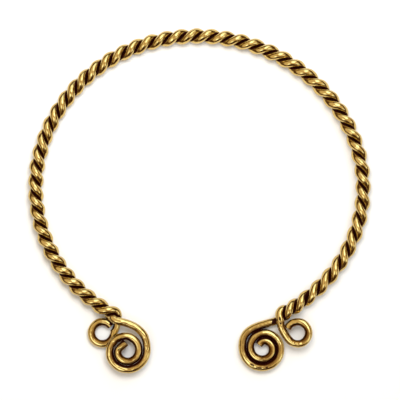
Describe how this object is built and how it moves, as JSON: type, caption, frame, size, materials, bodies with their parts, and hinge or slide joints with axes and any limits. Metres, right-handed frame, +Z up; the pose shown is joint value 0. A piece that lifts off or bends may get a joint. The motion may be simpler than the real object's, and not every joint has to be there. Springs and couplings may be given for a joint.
{
  "type": "torc",
  "caption": "Open neck ring of two round wires twisted together; at each end one wire makes a small round loop and the other a flat spiral.",
  "frame": {"origin": "on the surface that the torc lies on, under the middle of its outline", "axes": "+Z up from that surface; the open mouth faces -Y; +X is to the right as seen from above with the mouth towards the viewer"},
  "size_m": [0.1442, 0.145, 0.0068],
  "materials": {
    "antiqued_gold": "polished gold colour on the high sides, blackened brown in the grooves of the twist and between the turns of the spirals, with fine lengthwise draw lines and small dents"
  },
  "bodies": {
    "root": {"first_wire": "antiqued_gold", "second_wire": "antiqued_gold"}
  },
  "joints": []
}
